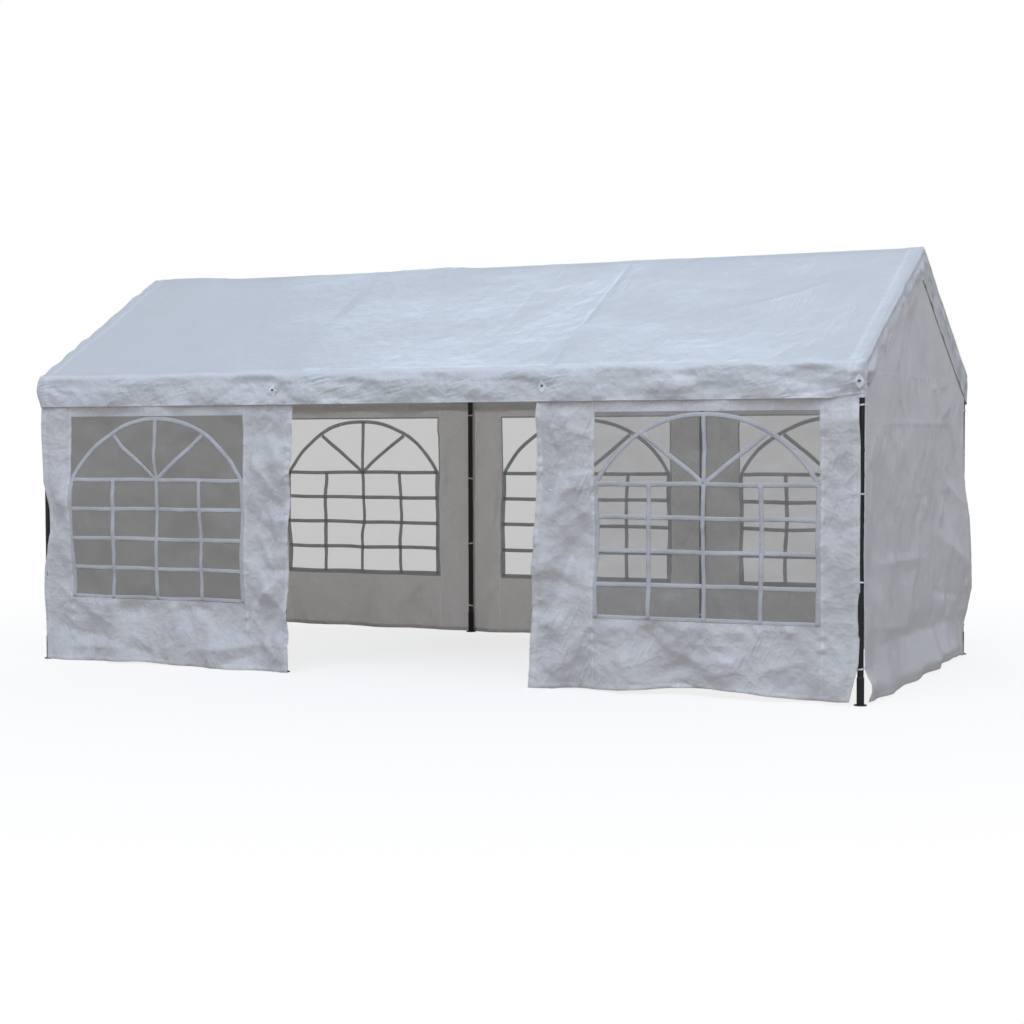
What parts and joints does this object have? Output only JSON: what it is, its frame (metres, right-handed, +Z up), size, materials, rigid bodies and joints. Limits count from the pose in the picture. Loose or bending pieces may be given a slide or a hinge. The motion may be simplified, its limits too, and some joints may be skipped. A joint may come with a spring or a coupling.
{
  "type": "marquee tent",
  "caption": "Ridge-roofed party tent: black steel tube frame, white sheet roof cover with valances, plain end walls, side walls with arched-bar windows, open front bay.",
  "frame": {"origin": "on the ground at the centre of the plan", "axes": "+X along the ridge, towards the end wall that the picture shows; -Y out of the open front bay; +Z up"},
  "size_m": [6.078, 2.958, 2.84],
  "materials": {
    "frame_tube": "black powder coat, satin, lightly scuffed",
    "frame_fitting": "black powder coat, satin",
    "roof_sheet": "white woven polyethylene sheet, crinkled, slightly glossy",
    "wall_sheet": "white woven polyethylene sheet, creased, slightly translucent",
    "window_sheet": "clear flexible vinyl, wavy"
  },
  "bodies": {
    "root": {"eave_fitting_front_1": "frame_fitting", "eave_fitting_front_2": "frame_fitting", "eave_fitting_front_3": "frame_fitting", "eave_fitting_front_4": "frame_fitting", "eave_fitting_rear_1": "frame_fitting", "eave_fitting_rear_2": "frame_fitting", "eave_fitting_rear_3": "frame_fitting", "eave_fitting_rear_4": "frame_fitting", "eave_rail_front_1": "frame_tube", "eave_rail_front_2": "frame_tube", "eave_rail_front_3": "frame_tube", "eave_rail_rear_1": "frame_tube", "eave_rail_rear_2": "frame_tube", "eave_rail_rear_3": "frame_tube", "end_wall_left": "wall_sheet", "end_wall_right": "wall_sheet", "front_left_wall": "wall_sheet", "front_left_window": "window_sheet", "front_right_wall": "wall_sheet", "front_right_window": "window_sheet", "leg_front_1": "frame_tube", "leg_front_2": "frame_tube", "leg_front_3": "frame_tube", "leg_front_4": "frame_tube", "leg_rear_1": "frame_tube", "leg_rear_2": "frame_tube", "leg_rear_3": "frame_tube", "leg_rear_4": "frame_tube", "rafter_front_1": "frame_tube", "rafter_front_2": "frame_tube", "rafter_front_3": "frame_tube", "rafter_front_4": "frame_tube", "rafter_rear_1": "frame_tube", "rafter_rear_2": "frame_tube", "rafter_rear_3": "frame_tube", "rafter_rear_4": "frame_tube", "rear_left_wall": "wall_sheet", "rear_left_window": "window_sheet", "rear_middle_wall": "wall_sheet", "rear_middle_window": "window_sheet", "rear_right_wall": "wall_sheet", "rear_right_window": "window_sheet", "ridge_bar_1": "frame_tube", "ridge_bar_2": "frame_tube", "ridge_bar_3": "frame_tube", "ridge_fitting_1": "frame_fitting", "ridge_fitting_2": "frame_fitting", "ridge_fitting_3": "frame_fitting", "ridge_fitting_4": "frame_fitting", "roof_cover": "roof_sheet"}
  },
  "joints": []
}
